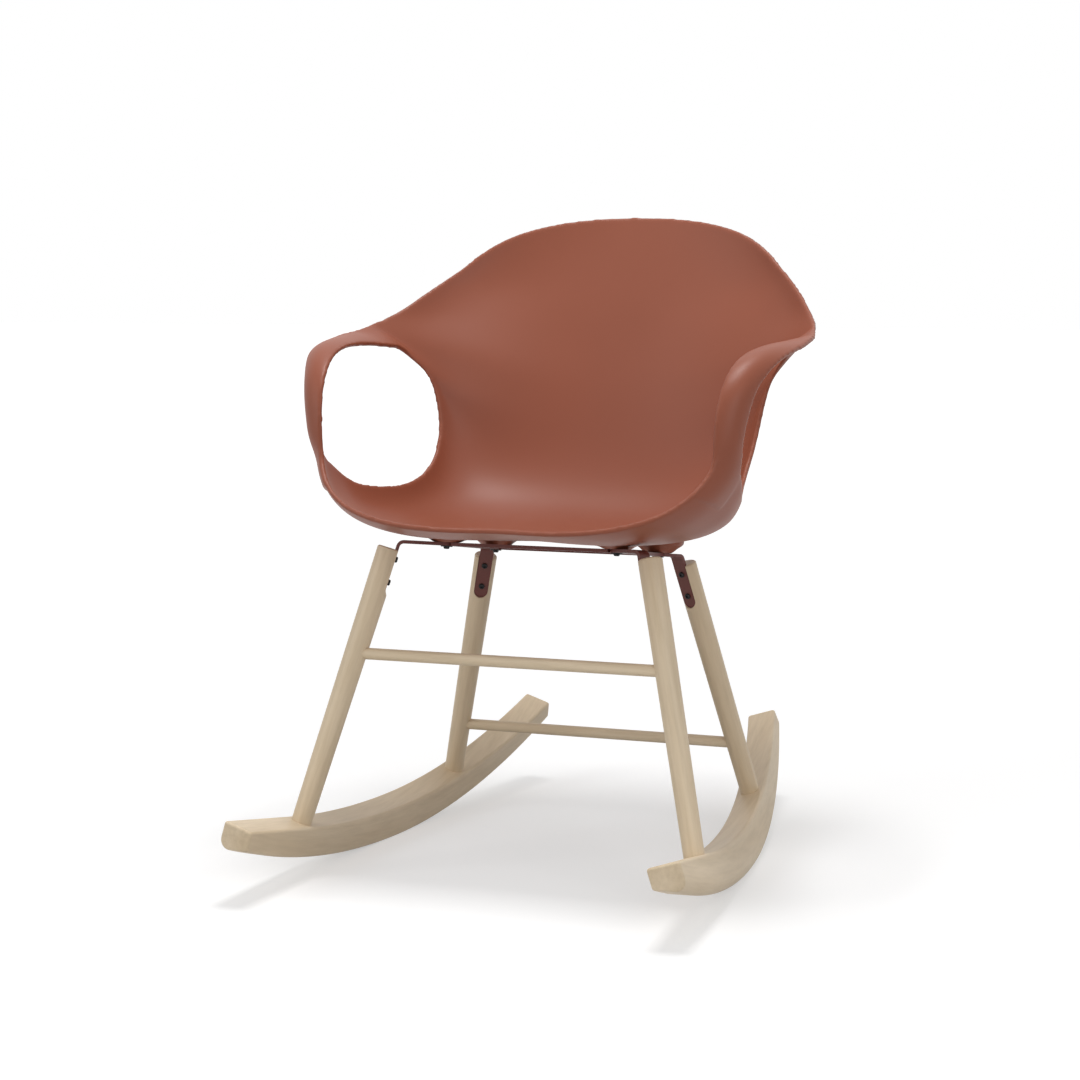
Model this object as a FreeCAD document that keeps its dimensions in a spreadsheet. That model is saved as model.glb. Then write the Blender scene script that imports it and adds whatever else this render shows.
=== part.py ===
import FreeCAD, Part
import math
import os

# Moulded plastic rocking chair: one plastic seat shell with looped arms, a folded
# steel seat frame, four tapered wooden legs, two stretchers and two bent rockers.
# Frame: +Z up, floor at Z 0, front of the chair towards -Y, X 0 is the mirror plane.

from FreeCAD import Matrix, Placement, Rotation, Vector

DRIVING_SIZES = {
    # seat shell
    "shell_wall": 6.0,
    "boss_tip_radius": 17.0,
    "boss_base_radius": 31.0,
    "boss_flare_height": 11.0,
    "boss_spacing_across": 210.0,
    "boss_front_place": -100.0,
    "boss_rear_place": 60.0,
    # rockers
    "rocker_width": 37.0,
    "rocker_middle_depth": 44.0,
    "rocker_end_depth": 29.0,
    "rocker_front_reach": 368.5,
    "rocker_rear_reach": 363.8,
    "rocker_rear_end_lean": 23.0,
    "rocker_low_place": 5.0,
    "rocker_front_radius": 1240.0,
    "rocker_rear_radius": 900.0,
    "rocker_half_spread": 231.8,
    "rocker_toe_in": 6.1,
    "rocker_cant": 17.0,
    "rocker_outer_round": 11.0,
    "rocker_edge_round": 3.5,
    "rocker_end_round": 3.0,
    # legs and stretchers
    "leg_top_radius": 14.0,
    "leg_foot_radius": 11.8,
    "front_foot_place": -226.0,
    "rear_foot_place": 152.0,
    "front_top_across": 158.6,
    "front_top_along": -144.8,
    "front_top_height": 378.0,
    "rear_top_across": 129.7,
    "rear_top_along": 89.3,
    "rear_top_height": 345.0,
    "stretcher_radius": 6.8,
    "stretcher_socket": 12.0,
    "front_stretcher_share": 0.615,
    "rear_stretcher_share": 0.215,
    "dowel_radius": 5.0,
    "dowel_length": 40.0,
    # folded frame
    "bar_width": 17.0,
    "bar_thickness": 4.0,
    "bar_bend_radius": 5.0,
    "frame_tilt": 7.8,
    "frame_height": 368.0,
    "tab_length": 54.0,
    "front_tab_turn": 66.0,
    "rear_tab_turn": 22.0,
    "tab_seat_depth": 7.2,
    "tab_clearance": 0.2,
    # fasteners
    "screw_spacing": 28.0,
    "screw_head_radius": 3.6,
    "screw_head_depth": 2.6,
    "screw_shank_radius": 2.5,
    "screw_length": 15.5,
    "socket_radius": 1.9,
    "insert_radius": 4.0,
    "insert_length": 13.0,
    "washer_radius": 7.0,
    "washer_thickness": 1.2,
    "seat_screw_length": 12.0,
    "seat_screw_head_depth": 2.6,
    "seat_insert_radius": 4.0,
    "seat_insert_length": 8.0,
}

doc = FreeCAD.newDocument("rocking_chair")
sheet = doc.addObject("Spreadsheet::Sheet", "sizes")
for row, (name, value) in enumerate(DRIVING_SIZES.items(), start=1):
    sheet.set("A%d" % row, name)
    sheet.set("B%d" % row, str(value))
    sheet.setAlias("B%d" % row, name)
doc.recompute()

parts = []


def size(name):
    return float(sheet.get(name))


def bind(item, **links):
    for prop, formula in links.items():
        item.setExpression(prop, formula)


def keep(item, label):
    item.Label = label
    parts.append(item)
    return item


def mirrored_point(point, side):
    return Vector(point.x * side, point.y, point.z)


def frame_placement(origin, along_x, along_z):
    """Placement whose Z axis is along_z and whose X axis lies towards along_x."""
    z_axis = Vector(along_z).normalize()
    y_axis = z_axis.cross(along_x).normalize()
    x_axis = y_axis.cross(z_axis)
    grid = Matrix(x_axis.x, y_axis.x, z_axis.x, origin.x,
                  x_axis.y, y_axis.y, z_axis.y, origin.y,
                  x_axis.z, y_axis.z, z_axis.z, origin.z, 0, 0, 0, 1)
    return Placement(grid)


def cylinder(name, placement, radius, height):
    item = doc.addObject("Part::Cylinder", name)
    bind(item, Radius=radius, Height=height)
    item.Placement = placement
    return item


def fuse(name, pieces):
    item = doc.addObject("Part::MultiFuse", name)
    item.Shapes = pieces
    return item


def cut(name, base, tool):
    item = doc.addObject("Part::Cut", name)
    item.Base = base
    item.Tool = tool
    return item


def group(name, pieces):
    item = doc.addObject("Part::Compound", name)
    item.Links = pieces
    return item


SIDES = (("left", -1), ("right", 1))

# Rockers: bent runners in planes that toe in at the back and lean in at the top

toe_in = math.radians(size("rocker_toe_in"))
cant = math.radians(size("rocker_cant"))
spread = size("rocker_half_spread")
low_place = size("rocker_low_place")


def rocker_axes(side):
    along = Vector(-math.sin(toe_in) * side, math.cos(toe_in), 0)
    rise = Vector(-math.cos(toe_in) * math.sin(cant) * side,
                  -math.sin(toe_in) * math.sin(cant), math.cos(cant))
    return along, rise


def arc_rise(place, radius):
    return radius - math.sqrt(radius ** 2 - (place - low_place) ** 2)


def nose_place():
    """Where the top's front arc ends and its straight nose begins."""
    return size("front_foot_place")


def rocker_top(place):
    """Height of the rocker's top along its leaning plane at a place along it."""
    middle = size("rocker_middle_depth") / math.cos(cant)
    if place >= low_place:
        return middle + arc_rise(place, size("rocker_rear_radius"))
    radius = size("rocker_front_radius")
    reach = low_place - nose_place()
    slope = reach / math.sqrt(radius ** 2 - reach ** 2)
    beyond = max(0.0, nose_place() - place)
    return middle + arc_rise(max(place, nose_place()), radius) + slope * beyond


def rocker_point(side, place, rise_by=0.0):
    along, rise = rocker_axes(side)
    return Vector(spread * side, 0, 0) + along * place + rise * (rocker_top(place) + rise_by)


def radius_through(reach, climb):
    return (reach ** 2 + climb ** 2) / (2 * climb)


class RockerOutline:
    """The four tangent arcs of a rocker, seen from its side."""

    def __init__(self):
        self.front = -size("rocker_front_reach")
        self.rear = size("rocker_rear_reach")
        self.top_middle = rocker_top(low_place)
        self.low_middle = self.top_middle - size("rocker_middle_depth") / math.cos(cant)

    def end_corner(self, place, depth):
        """Corner of an end face, a depth below the top; the rear face leans outwards."""
        lean = math.radians(size("rocker_rear_end_lean")) if place > low_place else 0.0
        return Vector(place + depth * math.sin(lean),
                      rocker_top(place) - depth * math.cos(lean), 0)

    def draw_arc(self, sketch, start_rise, corner, overrun=0.0):
        """Draws an arc, level at the low place, through a corner and past it."""
        reach = corner.x - low_place
        radius = radius_through(reach, corner.y - start_rise)
        turn = math.asin((reach + math.copysign(overrun, reach)) / radius)
        points = [Vector(low_place + radius * math.sin(turn * share),
                         start_rise + radius * (1 - math.cos(turn * share)), 0)
                  for share in (0.0, 0.5, 1.0)]
        sketch.addGeometry(Part.Arc(*points), False)
        return points[-1]


def side_sketch(body, name):
    sketch = body.newObject("Sketcher::SketchObject", name)
    plane = [item for item in body.Origin.OriginFeatures if item.Role == "YZ_Plane"][0]
    sketch.AttachmentSupport = [(plane, "")]
    sketch.MapMode = "FlatFace"
    return sketch


def add_lines(sketch, corners):
    for start, end in zip(corners, corners[1:]):
        sketch.addGeometry(Part.LineSegment(start, end), False)


def round_edges(body, base, name, radius, wanted):
    names = []
    for number, edge in enumerate(base.Shape.Edges, start=1):
        middle = edge.valueAt((edge.FirstParameter + edge.LastParameter) / 2)
        if wanted(edge, middle):
            names.append("Edge%d" % number)
    item = body.newObject("PartDesign::Fillet", name)
    item.Base = (base, names)
    bind(item, Radius=radius)
    body.Tip = item
    doc.recompute()
    return item


def make_rocker(word, side):
    """A padded side outline whose underside is cut level, then rounded edges."""
    line = RockerOutline()
    half = size("rocker_width") / 2
    spare = half * math.tan(cant) + 2
    body = doc.addObject("PartDesign::Body", "rocker_" + word + "_body")
    sketch = side_sketch(body, "rocker_" + word + "_outline")
    end_depth = size("rocker_end_depth")
    rear_top = line.draw_arc(sketch, line.top_middle, line.end_corner(line.rear, 0.0))
    nose = line.draw_arc(sketch, line.top_middle,
                         Vector(nose_place(), rocker_top(nose_place()), 0))
    front_top = line.end_corner(line.front, 0.0)
    rear_low, front_low = [
        line.draw_arc(sketch, line.low_middle - spare, line.end_corner(place, end_depth + spare))
        for place in (line.rear, line.front)]
    add_lines(sketch, [nose, front_top, front_low])
    add_lines(sketch, [rear_top, rear_low])
    pad = body.newObject("PartDesign::Pad", "rocker_" + word + "_pad")
    pad.Profile = sketch
    bind(pad, Length="sizes.rocker_width")
    pad.Midplane = True
    doc.recompute()

    waste = side_sketch(body, "rocker_" + word + "_waste")
    front_end, rear_end = [
        line.draw_arc(waste, line.low_middle, line.end_corner(place, end_depth), spare)
        for place in (line.front, line.rear)]
    front_out = front_end + Vector(-spare, -spare * 0.2, 0)
    rear_out = rear_end + Vector(spare, spare * 0.2, 0)
    deep = line.low_middle - 4 * spare
    add_lines(waste, [front_end, front_out, Vector(front_out.x, deep, 0),
                      Vector(rear_out.x, deep, 0), rear_out, rear_end])
    level = body.newObject("PartDesign::Pocket", "rocker_" + word + "_level_cut")
    level.Profile = waste
    level.UseCustomVector = True
    level.Direction = Vector(math.cos(cant), 0, -side * math.sin(cant))
    bind(level, Length="sizes.rocker_width * 2")
    level.Midplane = True
    body.Tip = level
    doc.recompute()
    if level.Shape.Volume >= pad.Shape.Volume:
        raise ValueError("the level cut of the rocker removed nothing")

    def is_low(middle):
        return middle.z < rocker_top(middle.y) - size("rocker_end_depth") / 2

    def on_side(middle):
        return abs(abs(middle.x) - half) < 0.1

    def outer_low(edge, middle):
        return edge.Length > 100 and on_side(middle) and is_low(middle) and middle.x * side > 0

    def other_long(edge, middle):
        return edge.Length > 100 and on_side(middle) and not (is_low(middle) and middle.x * side > 0)

    wide = round_edges(body, level, "rocker_" + word + "_wide_round",
                       "sizes.rocker_outer_round", outer_low)
    soft = round_edges(body, wide, "rocker_" + word + "_soft_round",
                       "sizes.rocker_edge_round", other_long)

    def at_end(edge, middle):
        low = min(point.Point.y for point in edge.Vertexes)
        high = max(point.Point.y for point in edge.Vertexes)
        return high < line.front + 0.1 or low > line.rear - 0.1

    round_edges(body, soft, "rocker_" + word + "_end_round",
                "sizes.rocker_end_round", at_end)
    along, rise = rocker_axes(side)
    body.Placement = frame_placement(Vector(spread * side, 0, 0), along.cross(rise), rise)
    return body


rocker_bodies = {word: make_rocker(word, side) for word, side in SIDES}

# Legs: axes run from the rocker's top to the underside of the seat frame

LEG_ENDS = ("front", "rear")


class LegLine:
    """Axis, radius and tab face of one leg."""

    def __init__(self, end, side):
        self.end = end
        self.side = side
        self.foot = rocker_point(side, size(end + "_foot_place"))
        self.top = Vector(size(end + "_top_across") * side, size(end + "_top_along"),
                          size(end + "_top_height"))
        self.length = (self.top - self.foot).Length
        self.up = (self.top - self.foot).normalize()
        toward_seat = 1 if end == "front" else -1
        turn = math.radians(size(end + "_tab_turn"))
        flat = Vector(-math.sin(turn) * side, math.cos(turn) * toward_seat, 0)
        self.face = (flat - self.up * flat.dot(self.up)).normalize()
        self.across = self.up.cross(self.face)

    def radius_at(self, share):
        low = size("leg_foot_radius")
        return low + (size("leg_top_radius") - low) * share

    def point(self, share, out=0.0):
        return self.foot + self.up * (self.length * share) + self.face * out

    def tab_point(self, below_top, out=0.0):
        """A point on the milled seat, a distance below the top of the leg."""
        seat = size("leg_top_radius") - size("tab_seat_depth")
        return self.top - self.up * below_top + self.face * (seat + out)


legs = {(end, word): LegLine(end, side) for end in LEG_ENDS for word, side in SIDES}
tab_top = size("screw_head_radius") * 3
SCREW_PLACES = (tab_top, tab_top + size("screw_spacing"))


def stretcher_share(end):
    return size(end + "_stretcher_share")


def stretcher_line(end):
    """Start and direction of a stretcher, let into both legs."""
    left = legs[(end, "left")]
    right = legs[(end, "right")]
    share = stretcher_share(end)
    start = left.point(share)
    finish = right.point(share)
    along = (finish - start).normalize()
    inset = left.radius_at(share) - size("stretcher_socket")
    return start + along * inset, finish - along * inset, along


def make_stretcher(end):
    start, finish, along = stretcher_line(end)
    item = doc.addObject("Part::Cylinder", end + "_stretcher_rod")
    bind(item, Radius="sizes.stretcher_radius")
    item.Height = (finish - start).Length
    item.Placement = frame_placement(start, Vector(0, 1, 0), along)
    return item


stretchers = {end: make_stretcher(end) for end in LEG_ENDS}


def make_dowel(leg, word):
    start = leg.foot - leg.up * (size("dowel_length") / 2)
    return cylinder("dowel_%s_%s" % (leg.end, word),
                    frame_placement(start, leg.face, leg.up),
                    "sizes.dowel_radius", "sizes.dowel_length")


dowels = {key: make_dowel(leg, key[1]) for key, leg in legs.items()}


def insert_bores(leg, word):
    """Blind bores for the threaded inserts, drilled in from the milled seat."""
    bores = []
    for number, below in enumerate(SCREW_PLACES, start=1):
        place = frame_placement(leg.tab_point(below, 1.0), leg.up, leg.face * -1)
        bores.append(cylinder("bore_%s_%s_%d" % (leg.end, word, number), place,
                              "sizes.insert_radius", "sizes.insert_length + 1"))
    return bores


def make_leg(key):
    leg = legs[key]
    end, word = key
    name = "%s_leg_%s" % key
    spare = size("leg_foot_radius")
    blank = doc.addObject("Part::Cone", name + "_blank")
    bind(blank, Radius1="sizes.leg_foot_radius", Radius2="sizes.leg_top_radius")
    blank.Height = leg.length + spare
    blank.Placement = frame_placement(leg.foot - leg.up * spare, leg.face, leg.up)
    doc.recompute()
    rim = [(number, 1.5, 1.5) for number, edge in enumerate(blank.Shape.Edges, start=1)
           if isinstance(edge.Curve, Part.Circle)
           and (edge.Curve.Center - leg.top).Length < 1.0]
    eased = doc.addObject("Part::Chamfer", name + "_eased")
    eased.Base = blank
    eased.Edges = rim
    half_slot = size("bar_width") / 2 + size("tab_clearance")
    slot_end = size("tab_length") - size("bar_width") / 2
    over_top = size("leg_top_radius")
    slot = doc.addObject("Part::Box", name + "_tab_slot")
    bind(slot, Length="sizes.leg_top_radius", Width="sizes.bar_width + 2 * sizes.tab_clearance")
    slot.Height = slot_end + over_top
    slot.Placement = frame_placement(leg.tab_point(slot_end) - leg.across * half_slot,
                                     leg.face, leg.up)
    slot_round = cylinder(name + "_slot_end",
                          frame_placement(leg.tab_point(slot_end), leg.up, leg.face),
                          "sizes.bar_width / 2 + sizes.tab_clearance", "sizes.leg_top_radius")
    tools = insert_bores(leg, word) + [slot, slot_round, stretchers[end], dowels[key],
                                       rocker_bodies[word]]
    return keep(cut(name + "_shape", eased, fuse(name + "_cutters", tools)), name)


for key in legs:
    make_leg(key)

for end in LEG_ENDS:
    keep(stretchers[end], end + "_stretcher")

for word, side in SIDES:
    drill = group("rocker_%s_drill" % word, [dowels[(end, word)] for end in LEG_ENDS])
    keep(cut("rocker_%s_shape" % word, rocker_bodies[word], drill), "rocker_" + word)

for word, side in SIDES:
    pair = group("rocker_dowels_%s_pair" % word, [dowels[(end, word)] for end in LEG_ENDS])
    keep(pair, "rocker_dowels_" + word)

doc.recompute()
# Seat frame: two dog-leg bars with folded tabs, joined by two cross bars in one plane

tilt = math.radians(size("frame_tilt"))
frame_up = Vector(0, math.sin(tilt), math.cos(tilt))
frame_back = Vector(0, math.cos(tilt), -math.sin(tilt))
frame_origin = Vector(0, 0, size("frame_height"))
bar_thickness = size("bar_thickness")
bar_width = size("bar_width")
boss_across = size("boss_spacing_across") / 2
BOSS_PLACES = {"front": size("boss_front_place"), "rear": size("boss_rear_place")}


def frame_point(across, back, rise=0.0):
    """A point on the frame's top face, or above it by rise."""
    return frame_origin + Vector(across, 0, 0) + frame_back * back + frame_up * rise


def boss_point(end, side, rise=0.0):
    return frame_point(boss_across * side, BOSS_PLACES[end] / math.cos(tilt), rise)


def plate(outline, thickness_vector):
    """A flat plate from a closed outline of points."""
    wire = Part.makePolygon(outline + [outline[0]])
    return Part.Face(wire).extrude(thickness_vector)


def folded_end(leg):
    """Tab, bend and short landing that join one leg to the bar, all one thickness.

    The bend's axis lies in the frame's plane and in the tab's plane, so both
    stay flat. Returns the solids and the middle of the landing's inner edge.
    """
    half = bar_width / 2
    outer = size("bar_bend_radius") + bar_thickness
    axis = frame_up.cross(leg.face).normalize()
    inward = axis.cross(frame_up).normalize()
    fold_down = leg.face.cross(axis).normalize()
    if fold_down.z > 0:
        fold_down = fold_down * -1
    angle = math.pi - math.acos(inward.dot(fold_down))
    tangent = outer * math.tan(angle / 2)
    seat = leg.tab_point(0)
    climb = (frame_origin - seat).dot(frame_up) / leg.up.dot(frame_up)
    corner = seat + leg.up * climb
    centre = corner + inward * tangent - frame_up * outer
    bend_start = corner + inward * tangent
    tab_start = corner + fold_down * tangent
    reach = axis * (half / abs(leg.across.dot(axis)))
    mouth = Part.Face(Part.makePolygon([
        bend_start - reach, bend_start + reach, bend_start + reach - frame_up * bar_thickness,
        bend_start - reach - frame_up * bar_thickness, bend_start - reach]))
    bends = [mouth.revolve(centre, axis, math.degrees(angle) * way) for way in (1, -1)]
    bend = min(bends, key=lambda item: (item.CenterOfMass - tab_start).Length)
    tab_tip = leg.tab_point(size("tab_length") - half)
    edge = leg.across * half
    if edge.dot(axis) < 0:
        edge = edge * -1
    tab = plate([tab_start - reach, tab_start + reach, tab_tip + edge, tab_tip - edge],
                leg.face * bar_thickness)
    tip = Part.makeCylinder(half, bar_thickness, tab_tip, leg.face)
    landing_edge = bend_start + inward * half
    landing = plate([bend_start - reach, bend_start + reach, landing_edge + reach,
                     landing_edge - reach], frame_up * -bar_thickness)
    return [bend, tab, tip, landing], landing_edge


def disc(centre):
    return Part.makeCylinder(bar_width / 2, bar_thickness, centre, frame_up * -1)


def strip(start, end):
    """Flat strip of the bar's width between two points of the frame's top face."""
    half = frame_up.cross(end - start).normalize() * (bar_width / 2)
    return plate([start - half, start + half, end + half, end - half],
                 frame_up * -bar_thickness)


def make_bar(word, side):
    """Dog-leg bar under two bosses, with a folded end at each leg."""
    pieces = []
    bosses = [boss_point(end, side) for end in LEG_ENDS]
    for end, boss in zip(LEG_ENDS, bosses):
        solids, landing_edge = folded_end(legs[(end, word)])
        pieces.extend(solids)
        pieces.extend([disc(boss), strip(landing_edge, boss), disc(landing_edge)])
    pieces.append(strip(*bosses))
    bar = pieces[0].multiFuse(pieces[1:])
    holes = []
    for end, boss in zip(LEG_ENDS, bosses):
        leg = legs[(end, word)]
        hole_radius = size("screw_shank_radius") + 0.2
        for below in SCREW_PLACES:
            holes.append(Part.makeCylinder(hole_radius, 4 * bar_thickness,
                                           leg.tab_point(below, -bar_thickness), leg.face))
        holes.append(Part.makeCylinder(hole_radius, 4 * bar_thickness,
                                       boss + frame_up * bar_thickness, frame_up * -1))
    bar = bar.cut(holes).removeSplitter()
    item = doc.addObject("Part::Feature", "frame_bar_%s_shape" % word)
    item.Shape = bar
    return keep(item, "frame_bar_" + word)


for word, side in SIDES:
    make_bar(word, side)


def make_cross_bar(end):
    """Flat bar between the dog-leg bars, just inboard of the bosses."""
    item = doc.addObject("Part::Box", "cross_bar_%s_shape" % end)
    bind(item, Length="sizes.boss_spacing_across - sizes.bar_width",
         Width="sizes.bar_width", Height="sizes.bar_thickness")
    corner = boss_point(end, -1) + Vector(bar_width / 2, 0, 0)
    corner = corner - frame_back * (bar_width / 2) - frame_up * bar_thickness
    item.Placement = Placement(corner, Rotation(Vector(1, 0, 0), -size("frame_tilt")))
    return keep(item, "frame_cross_bar_" + end)


for end in LEG_ENDS:
    make_cross_bar(end)

# Fasteners: socket screws in threaded inserts, at the tabs and at the shell's bosses

SOCKET_FLOOR_SHARE = 0.4


def revolved(name, outline, placement):
    """Solid turned from a half outline of radius and height pairs."""
    points = [Vector(radius, 0, height) for radius, height in outline]
    face = Part.Face(Part.makePolygon(points + [points[0]]))
    item = doc.addObject("Part::Feature", name)
    item.Shape = face.revolve(Vector(0, 0, 0), Vector(0, 0, 1), 360)
    item.Placement = placement
    return item


def screw(name, placement, length, head_size):
    """Button-head screw whose head seats at height 0 and whose shank points down."""
    head = size("screw_head_radius")
    depth = size(head_size)
    shank = size("screw_shank_radius") - 0.1
    outline = [(0, -length), (shank, -length), (shank, 0), (head, 0),
               (head, depth * 0.5), (head * 0.85, depth * 0.85), (head * 0.6, depth), (0, depth)]
    blank = revolved(name + "_blank", outline, placement)
    recess = doc.addObject("Part::Prism", name + "_socket")
    recess.Polygon = 6
    bind(recess, Circumradius="sizes.socket_radius", Height="sizes.%s" % head_size)
    floor = Vector(0, 0, depth * SOCKET_FLOOR_SHARE)
    recess.Placement = placement.multiply(Placement(floor, Rotation()))
    return cut(name, blank, recess)


def insert(name, placement, radius, length):
    """Sleeve with a tapered lead-in and a through bore, its mouth at height 0."""
    bore = size("screw_shank_radius")
    outline = [(bore, -length), (radius - 0.6, -length), (radius, -length + 2), (radius, 0),
               (bore, 0)]
    return revolved(name, outline, placement)


for end in LEG_ENDS:
    screws = []
    sleeves = []
    for word, side in SIDES:
        leg = legs[(end, word)]
        for number, below in enumerate(SCREW_PLACES, start=1):
            label = "%s_%s_%d" % (end, word, number)
            head_seat = frame_placement(leg.tab_point(below, bar_thickness), leg.up, leg.face)
            screws.append(screw("tab_screw_" + label, head_seat, size("screw_length"),
                                "screw_head_depth"))
            mouth = frame_placement(leg.tab_point(below), leg.up, leg.face)
            sleeves.append(insert("tab_insert_" + label, mouth, size("insert_radius"),
                                  size("insert_length")))
    keep(group("tab_screws_%s_set" % end, screws), "tab_screws_" + end)
    keep(group("tab_inserts_%s_set" % end, sleeves), "tab_inserts_" + end)

seat_screws = []
seat_washers = []
seat_inserts = []
for end in LEG_ENDS:
    for word, side in SIDES:
        label = "%s_%s" % (end, word)
        under = boss_point(end, side, -bar_thickness)
        washer_ring = [(size("screw_shank_radius") + 0.2, 0), (size("washer_radius"), 0),
                       (size("washer_radius"), size("washer_thickness")),
                       (size("screw_shank_radius") + 0.2, size("washer_thickness"))]
        down = frame_placement(under, Vector(1, 0, 0), frame_up * -1)
        seat_washers.append(revolved("seat_washer_" + label, washer_ring, down))
        head_seat = frame_placement(under - frame_up * size("washer_thickness"),
                                    Vector(1, 0, 0), frame_up * -1)
        seat_screws.append(screw("seat_screw_" + label, head_seat, size("seat_screw_length"),
                                 "seat_screw_head_depth"))
        mouth = frame_placement(boss_point(end, side), Vector(1, 0, 0), frame_up * -1)
        seat_inserts.append(insert("seat_insert_" + label, mouth,
                                   size("seat_insert_radius"), size("seat_insert_length")))
keep(group("seat_screws_set", seat_screws), "seat_screws")
keep(group("seat_washers_set", seat_washers), "seat_washers")
keep(group("seat_inserts_set", seat_inserts), "seat_inserts")
doc.recompute()
# Seat shell: a moulded bucket whose front corners rise into looped arms.
# Its outlines run from the front lip over the seat to the top of the back, for the
# right half, with heights from the frame's top face above the middle of the floor.

SHELL_CENTRE = [
    Vector(0, -214, 43), Vector(0, -192, 39), Vector(0, -152, 31), Vector(0, -97, 23),
    Vector(0, -40, 16), Vector(0, 20, 12), Vector(0, 78, 15), Vector(0, 127, 33),
    Vector(0, 162, 67), Vector(0, 182, 102), Vector(0, 196, 137), Vector(0, 206, 165),
    Vector(0, 216, 192), Vector(0, 229, 226), Vector(0, 243, 264), Vector(0, 260, 310),
    Vector(0, 278, 356), Vector(0, 295, 400)]
SHELL_FLANK = [
    Vector(130, -240, 37), Vector(130, -207, 30), Vector(130, -160, 21), Vector(130, -100, 14),
    Vector(126, -40, 9), Vector(120, 20, 7), Vector(114, 80, 12), Vector(111, 130, 33),
    Vector(112, 166, 70), Vector(113, 186, 106), Vector(115, 201, 142), Vector(117, 212, 170),
    Vector(119, 222, 197), Vector(120, 235, 230), Vector(118, 249, 268), Vector(108, 265, 313),
    Vector(98, 281, 357), Vector(90, 293, 401)]
SHELL_BEND = [
    Vector(220, -214, 56), Vector(229, -183, 32), Vector(230, -138, 17), Vector(228, -90, 10),
    Vector(216, -32, 7), Vector(203, 28, 8), Vector(195, 84, 22), Vector(194, 132, 52),
    Vector(202, 160, 100), Vector(211, 163, 140), Vector(221, 163, 177), Vector(233, 166, 207),
    Vector(242, 171, 234), Vector(240, 186, 251), Vector(232, 206, 269), Vector(206, 236, 299),
    Vector(186, 251, 340), Vector(165, 263, 386)]
SHELL_EDGE = [
    Vector(234, -165, 114), Vector(250, -141, 113), Vector(254, -112, 110), Vector(239, -78, 82),
    Vector(221, -24, 68), Vector(207, 38, 67), Vector(204, 96, 92), Vector(209, 131, 137),
    Vector(218, 133, 185), Vector(232, 126, 214), Vector(248, 108, 232), Vector(270, 104, 249),
    Vector(286, 96, 264), Vector(280, 122, 273), Vector(267, 151, 283), Vector(236, 198, 315),
    Vector(214, 221, 334), Vector(196, 234, 351)]
ROWS = 26
COLUMNS = 7


def shared_parameters(lines):
    """Curve parameters for matching outlines, from the mean step between their points."""
    total = [0.0]
    for place in range(1, len(lines[0])):
        steps = [(line[place] - line[place - 1]).Length for line in lines]
        total.append(total[-1] + sum(steps) / len(steps))
    return [value / total[-1] for value in total]


def smooth_outlines(lines):
    """One smooth curve through each outline; matching points share their parameter."""
    shared = shared_parameters(lines)
    curves = []
    for points in lines:
        curve = Part.BSplineCurve()
        curve.interpolate(Points=points, Parameters=shared)
        curves.append(curve)
    return curves


SHELL_LINES = [SHELL_CENTRE, SHELL_FLANK, SHELL_BEND, SHELL_EDGE]
SHELL_CURVES = smooth_outlines(SHELL_LINES)
SHELL_PARAMETERS = shared_parameters(SHELL_LINES)


def middle_point(along, across):
    """Point of the right half's middle surface; across runs 0 to 1 from centre to edge."""
    weights = ((1 - across) ** 3, 3 * across * (1 - across) ** 2,
               3 * across * across * (1 - across), across ** 3)
    poles = [curve.value(along) for curve in SHELL_CURVES]
    return sum((pole * weight for pole, weight in zip(poles, weights)), Vector(frame_origin))


def middle_surface():
    """Grid of points on the shell's middle surface, left edge to right edge per row."""
    grid = []
    for row in range(ROWS):
        half = [middle_point(row / (ROWS - 1), column / COLUMNS)
                for column in range(COLUMNS + 1)]
        left = [mirrored_point(point, -1) for point in reversed(half[1:])]
        grid.append(left + half)
    return grid


def offset_grid(grid, distance):
    """The grid moved along its own normals, which point up and forward."""
    last_row = len(grid) - 1
    last_column = len(grid[0]) - 1
    moved = []
    for row, points in enumerate(grid):
        line = []
        for column, point in enumerate(points):
            along = grid[min(row + 1, last_row)][column] - grid[max(row - 1, 0)][column]
            across = points[min(column + 1, last_column)] - points[max(column - 1, 0)]
            line.append(point + across.cross(along).normalize() * distance)
        moved.append(line)
    return moved


def clamped_knots(count, degree):
    """Even knots for a curve of that many poles that starts and ends on its poles."""
    inner = count - degree - 1
    return list(range(inner + 2)), [degree + 1] + [1] * inner + [degree + 1]


def woven(grid):
    """Surface whose poles are the grid, so that neighbours share their edges.

    It is cubic both ways, or straight between its rows if it has only two.
    """
    degree = 3 if len(grid) > 2 else 1
    knots_u, repeats_u = clamped_knots(len(grid), degree)
    knots_v, repeats_v = clamped_knots(len(grid[0]), 3)
    surface = Part.BSplineSurface()
    surface.buildFromPolesMultsKnots(grid, repeats_u, repeats_v, knots_u, knots_v,
                                     False, False, degree, 3)
    return surface


def wrapped(upper, lower):
    """Closed solid between two matching grids, with flat rims on its four edges."""
    def column(grid, place):
        return [line[place] for line in grid]

    surfaces = [woven(upper), woven(lower)]
    for place in (0, -1):
        surfaces.append(woven([upper[place], lower[place]]))
        surfaces.append(woven([column(upper, place), column(lower, place)]))
    shell = Part.Shell([surface.toShape() for surface in surfaces])
    shell.sewShape(0.01)
    solid = Part.Solid(shell)
    if solid.Volume < 0:
        solid.reverse()
    return solid


# Arms: each is a swollen strap that grows out of the raised front corner, bends
# back over the hand hole and flows into the side of the back

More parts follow.
